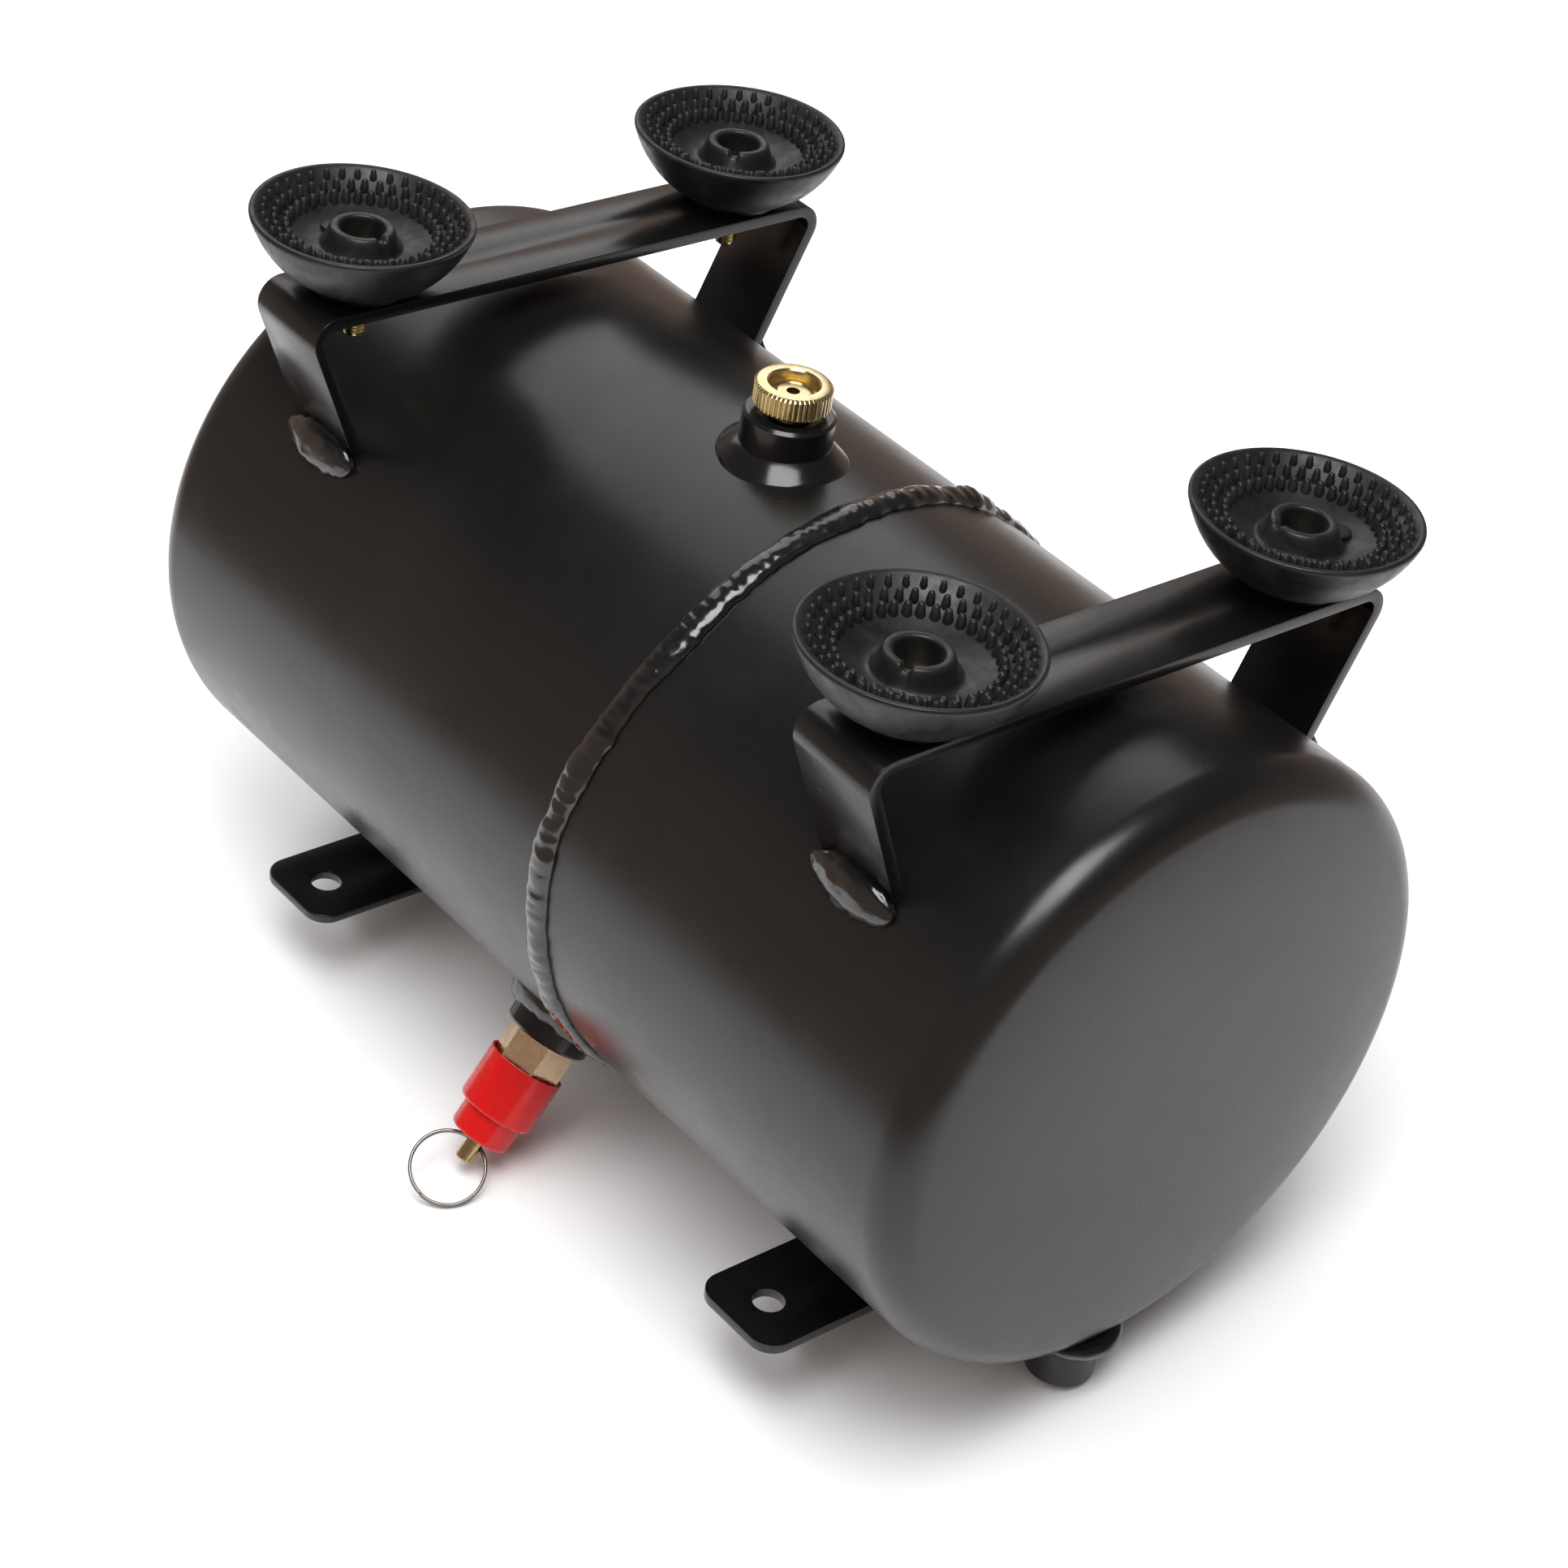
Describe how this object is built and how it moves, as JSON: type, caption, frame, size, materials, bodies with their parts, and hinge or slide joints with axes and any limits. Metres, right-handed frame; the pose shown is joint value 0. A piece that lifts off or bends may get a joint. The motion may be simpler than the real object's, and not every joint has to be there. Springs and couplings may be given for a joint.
{
  "type": "air receiver tank",
  "caption": "Small welded black steel air receiver with suction cup feet, mounting straps, a screw-down drain valve and a ring-pull safety valve.",
  "frame": {"origin": "centre of the four M6 holes of the two mounting straps, on the straps' outer face", "axes": "+X along the tank towards the end nearer the girth weld; +Z from the straps across the tank to the suction cups, so the tank is stored feet upward, as it lies in the picture; in use it is turned over and stands on the cups, with the compressor bolted to the straps on top"},
  "size_m": [0.2434, 0.1386, 0.1778],
  "materials": {
    "black_paint": "semi-gloss black enamel",
    "painted_weld": "black enamel over rippled weld metal",
    "cup_rubber": "matt moulded black rubber",
    "zinc_yellow": "yellow zinc plated steel",
    "brass": "turned brass",
    "dark_steel": "blackened steel",
    "red_plastic": "glossy moulded red plastic",
    "seal_rubber": "nitrile rubber",
    "spring_steel": "bright spring wire",
    "ring_steel": "bright nickel plated wire"
  },
  "bodies": {
    "tank": {"drain_boss": "black_paint", "drain_boss_weld": "painted_weld", "drain_valve_body": "dark_steel", "foot_bracket_left": "black_paint", "foot_bracket_right": "black_paint", "foot_bracket_welds": "painted_weld", "foot_screws": "zinc_yellow", "foot_washers": "zinc_yellow", "girth_weld": "painted_weld", "mounting_strap_left": "black_paint", "mounting_strap_right": "black_paint", "port_boss_left": "black_paint", "port_boss_right": "black_paint", "port_boss_weld_left": "painted_weld", "port_boss_weld_right": "painted_weld", "safety_adjuster": "brass", "safety_boss": "black_paint", "safety_boss_weld": "painted_weld", "safety_cap": "red_plastic", "safety_spring": "spring_steel", "safety_valve_body": "brass", "strap_welds": "painted_weld", "suction_cup_front_left": "cup_rubber", "suction_cup_front_right": "cup_rubber", "suction_cup_rear_left": "cup_rubber", "suction_cup_rear_right": "cup_rubber", "tank_half_left": "black_paint", "tank_half_right": "black_paint"},
    "drain_washer": {"drain_seal": "seal_rubber"},
    "drain_knob": {"drain_knob": "brass", "drain_spindle": "brass"},
    "safety_stem": {"safety_stem": "brass", "safety_seal": "seal_rubber"},
    "pull_ring": {"pull_ring": "ring_steel"}
  },
  "joints": [
    {"name": "drain_lift", "type": "slide", "parent": "tank", "child": "drain_washer", "axis": [0, 0, 1], "range_m": [0, 0.0015]},
    {"name": "drain_turn", "type": "hinge", "parent": "drain_washer", "child": "drain_knob", "pos_m": [-0.006, 0, 0.145], "axis": [0, 0, 1], "range_deg": [0, 540]},
    {"name": "safety_pull", "type": "slide", "parent": "tank", "child": "safety_stem", "axis": [0, -0.575, -0.8181], "range_m": [0, 0.0025], "stiffness_N_per_m": 1500, "springref_m": -0.004, "deforming": ["safety_spring"]},
    {"name": "ring_swing", "type": "hinge", "parent": "safety_stem", "child": "pull_ring", "pos_m": [-0.004, -0.05647, -0.01334], "axis": [0.8572, 0.4214, -0.2962], "range_deg": [-75, 75]}
  ],
  "couplings": [
    {"joint": "drain_lift", "follows": "drain_turn", "m_per_rad": 0.00015915}
  ]
}
